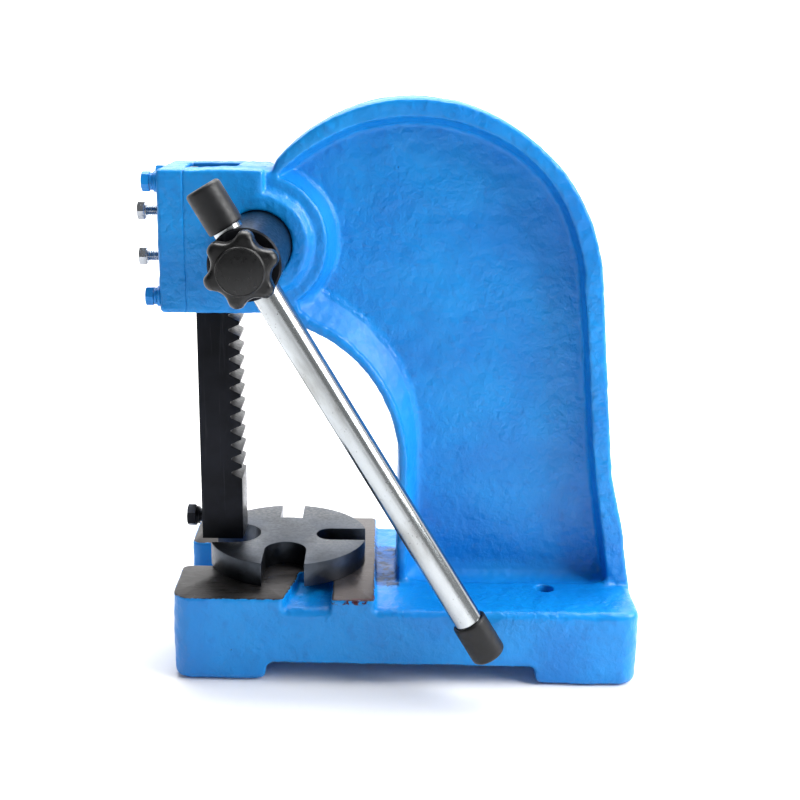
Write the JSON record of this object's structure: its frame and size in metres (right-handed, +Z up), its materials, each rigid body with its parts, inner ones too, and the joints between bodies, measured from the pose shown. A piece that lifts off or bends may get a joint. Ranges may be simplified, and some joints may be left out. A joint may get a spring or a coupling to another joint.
{
  "type": "arbor press",
  "caption": "Bench arbor press: C-shaped cast frame, toothed square ram, pinion with a sliding lever clamped by a star knob, and a slotted turning anvil plate.",
  "frame": {"origin": "where the ram's axis meets the bench, in the notch of the front foot", "axes": "+X from the press's front to its rear, +Y from the lever side to the far side, +Z up along the ram"},
  "size_m": [0.2915, 0.1837, 0.3305],
  "materials": {
    "blue_paint": "gloss paint over rough cast iron",
    "bare_steel": "ground, oiled",
    "zinc_steel": "bright zinc plate",
    "black_oxide": "black oxide, oiled",
    "plated_bar": "plated, stained",
    "black_rubber": "satin",
    "black_plastic": "fine texture",
    "machined_steel": "machined, dark oiled"
  },
  "bodies": {
    "frame": {"frame_casting": "blue_paint", "front_cover": "blue_paint", "cover_bolts": "blue_paint", "cover_lock_washers": "blue_paint", "cover_flat_washers": "blue_paint", "gib_plate": "bare_steel", "gib_screw_upper": "zinc_steel", "gib_screw_lower": "zinc_steel", "anvil_pivot_pin": "bare_steel"},
    "ram_body": {"ram": "black_oxide", "ram_nose_screw": "black_oxide"},
    "pinion": {"pinion_shaft": "black_oxide", "pinion_end_washer": "zinc_steel", "pinion_end_lock_washer": "zinc_steel", "pinion_end_screw": "zinc_steel"},
    "lever": {"lever_bar": "plated_bar", "lever_cap_short": "black_rubber", "lever_cap_long": "black_rubber"},
    "knob": {"star_knob": "black_plastic", "knob_centre_cap": "black_plastic", "knob_stud": "zinc_steel"},
    "plate": {"anvil_plate": "machined_steel"}
  },
  "joints": [
    {"name": "pinion_turn", "type": "hinge", "parent": "frame", "child": "pinion", "pos_m": [0.0256, -0.05, 0.2503], "axis": [0, 1, 0], "range_deg": [-90, 450]},
    {"name": "ram_slide", "type": "slide", "parent": "frame", "child": "ram_body", "axis": [0, 0, 1], "range_m": [-0.0243, 0.1211]},
    {"name": "lever_slide", "type": "slide", "parent": "pinion", "child": "lever", "axis": [-0.512, 0, 0.859], "range_m": [0, 0.208]},
    {"name": "knob_turn", "type": "hinge", "parent": "pinion", "child": "knob", "pos_m": [0.0256, -0.11, 0.2503], "axis": [0, -1, 0], "range_deg": [-720, 90]},
    {"name": "plate_turn", "type": "hinge", "parent": "frame", "child": "plate", "pos_m": [0.039, 0, 0.059], "axis": [0, 0, 1], "range_deg": [0, 360]}
  ],
  "couplings": [
    {"joint": "ram_slide", "follows": "pinion_turn", "m_per_rad": 0.0154}
  ]
}
